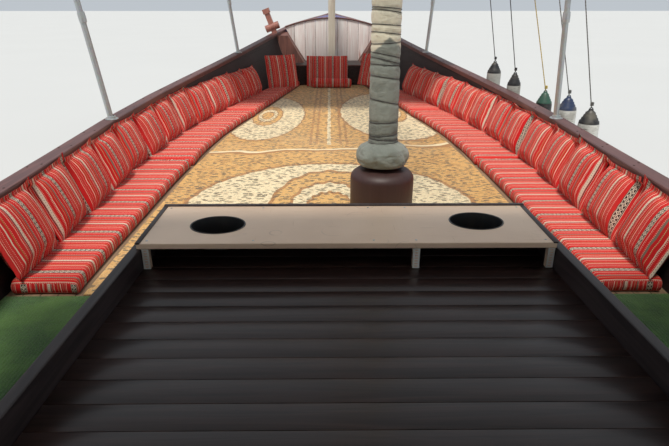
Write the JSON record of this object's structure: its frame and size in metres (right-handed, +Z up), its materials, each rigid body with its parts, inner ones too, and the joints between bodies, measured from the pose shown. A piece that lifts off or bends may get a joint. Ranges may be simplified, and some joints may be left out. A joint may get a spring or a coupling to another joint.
{
  "type": "wooden dhow sailing boat",
  "caption": "Wooden dhow with cushioned side seats, raised hatch table, wrapped mast, awnings on tube frames, furled lateen yard, poop with helm, and outboard rudder.",
  "frame": {"origin": "at the waterline, amidships, on the centreline", "axes": "+Y towards the bow, +X to starboard, +Z up"},
  "size_m": [5.192, 21.3506, 11.4125],
  "materials": {
    "hull_timber": "oiled planking, weathered",
    "post_timber": "oiled, weathered",
    "deck_timber": "worn planks",
    "bulwark_paint": "dark painted planks",
    "rail_timber": "varnished maroon-brown",
    "bow_post_paint": "cream paint",
    "white_planks": "white paint, pink undercoat showing",
    "flare_planks": "reddish-brown paint",
    "forecastle_paint": "blue-purple deck paint",
    "bitt_paint": "reddish-brown paint",
    "dark_gloss": "near-black brown gloss",
    "serving_top": "cream laminate with dark edge",
    "spar": "oiled spar",
    "canvas_wrap": "canvas bound with rope",
    "striped_weave": "striped woven cloth",
    "rug": "patterned pile rug",
    "turf": "artificial turf",
    "galvanised": "galvanised tube",
    "awning_cloth": "cream awning cloth",
    "fender": "scuffed off-white fender, dark ends",
    "rope": "laid rope",
    "sail_cloth": "furled sailcloth on a spar",
    "engine_paint": "painted engine",
    "bronze": "dull bronze"
  },
  "bodies": {
    "hull": {"hull_body": "hull_timber", "keel": "post_timber", "stem_post": "post_timber", "stern_post": "post_timber", "transom_board": "rail_timber", "bulwark_port": "bulwark_paint", "bulwark_starboard": "bulwark_paint", "rail_cap_port": "rail_timber", "rail_cap_starboard": "rail_timber", "main_deck": "deck_timber", "bow_platform": "dark_gloss", "forecastle_bulkhead": "white_planks", "forecastle_deck": "forecastle_paint", "flare_board_port": "flare_planks", "flare_board_starboard": "flare_planks", "bow_post": "bow_post_paint", "bitt_port": "bitt_paint", "bitt_starboard": "bitt_paint", "mast_drum": "dark_gloss", "mast": "spar", "mast_canvas": "canvas_wrap", "hatch_coaming": "dark_gloss", "hatch_planks": "dark_gloss", "serving_board": "serving_top", "engine_block": "engine_paint", "back_cushions_port": "striped_weave", "back_cushions_starboard": "striped_weave", "bow_cushion_port": "striped_weave", "bow_cushion_centre": "striped_weave", "bow_cushion_starboard": "striped_weave", "bolster": "striped_weave", "deck_rug": "rug", "deck_turf": "turf", "shrouds": "rope", "awning_frame_aft": "galvanised", "awning_frame_fore": "galvanised", "awning_aft": "awning_cloth", "awning_fore": "awning_cloth", "poop_deck": "deck_timber", "helm_console": "dark_gloss", "helm_bench": "deck_timber", "seat_mattress_port_1": "striped_weave", "seat_mattress_port_2": "striped_weave", "seat_mattress_port_3": "striped_weave", "seat_mattress_starboard_1": "striped_weave", "seat_mattress_starboard_2": "striped_weave", "seat_mattress_starboard_3": "striped_weave", "fender_1": "fender", "fender_2": "fender", "fender_3": "fender", "fender_4": "fender", "fender_5": "fender"},
    "rudder": {"rudder": "post_timber"},
    "helm": {"helm_wheel": "rail_timber"},
    "propeller": {"propeller": "bronze"},
    "yard": {"yard_and_sail": "sail_cloth"},
    "locker_door": {"locker_door": "rail_timber"}
  },
  "joints": [
    {"name": "rudder_swing", "type": "hinge", "parent": "hull", "child": "rudder", "pos_m": [0, -9.21175, -1.12608], "axis": [0, -0.3381, 0.9411], "range_deg": [-35, 35]},
    {"name": "helm_spin", "type": "hinge", "parent": "hull", "child": "helm", "pos_m": [0, -7.96, 2.38], "axis": [0, 1, 0], "range_deg": [-540, 540]},
    {"name": "propeller_spin", "type": "hinge", "parent": "hull", "child": "propeller", "pos_m": [0, -8.6, -0.6], "axis": [0, 1, 0], "continuous": true},
    {"name": "yard_swing", "type": "hinge", "parent": "hull", "child": "yard", "pos_m": [0.382, -0.86, 1.47], "axis": [0, 0.0436, 0.999], "range_deg": [-35, 35]},
    {"name": "locker_door_swing", "type": "hinge", "parent": "hull", "child": "locker_door", "pos_m": [-1.24, -6.58, 1.36], "axis": [0, 0, 1], "range_deg": [0, 110]}
  ],
  "couplings": [
    {"joint": "helm_spin", "follows": "rudder_swing", "ratio": 15.4}
  ]
}
